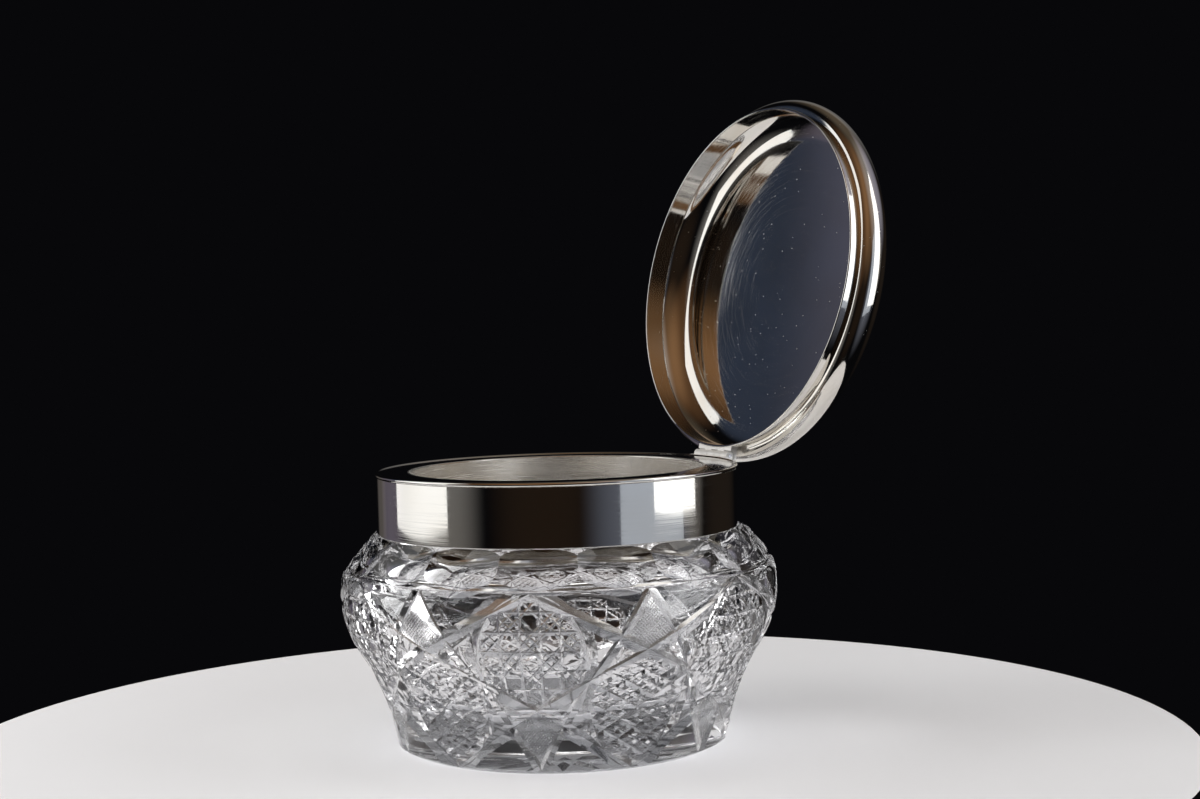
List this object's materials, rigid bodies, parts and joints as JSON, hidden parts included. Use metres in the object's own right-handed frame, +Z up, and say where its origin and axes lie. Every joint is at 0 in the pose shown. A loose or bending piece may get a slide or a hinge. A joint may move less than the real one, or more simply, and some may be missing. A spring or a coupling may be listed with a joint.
{
  "type": "hinged lid jar",
  "caption": "Squat cut glass jar with a silver collar and a domed silver lid on a pinned hinge, open to its stop.",
  "frame": {"origin": "centre of the flat underside, on the axis of the bowl", "axes": "+Z up along the bowl axis, +Y towards the hinge at the back, X along the hinge pin"},
  "size_m": [0.15, 0.1847, 0.2222],
  "materials": {
    "cut_crystal": "cut and polished lead crystal",
    "bedding_plaster": "matt white bedding plaster",
    "silver": "polished silver",
    "pin_wire": "drawn hard wire"
  },
  "bodies": {
    "bowl": {"glass_bowl": "cut_crystal", "plaster_bed": "bedding_plaster", "collar_band": "silver", "rim_ring": "silver", "throat_sleeve": "silver", "collar_leaf": "silver", "collar_knuckle_left": "silver", "collar_knuckle_middle": "silver", "collar_knuckle_right": "silver", "hinge_pin": "pin_wire"},
    "lid": {"lid_knuckle_left": "silver", "lid_knuckle_right": "silver", "lid_leaf": "silver", "lid_bezel": "silver", "lid_dome": "silver"}
  },
  "joints": [
    {"name": "lid_hinge", "type": "hinge", "parent": "bowl", "child": "lid", "pos_m": [0, 0.0654, 0.0943], "axis": [1, 0, 0], "range_deg": [0, 102]}
  ]
}
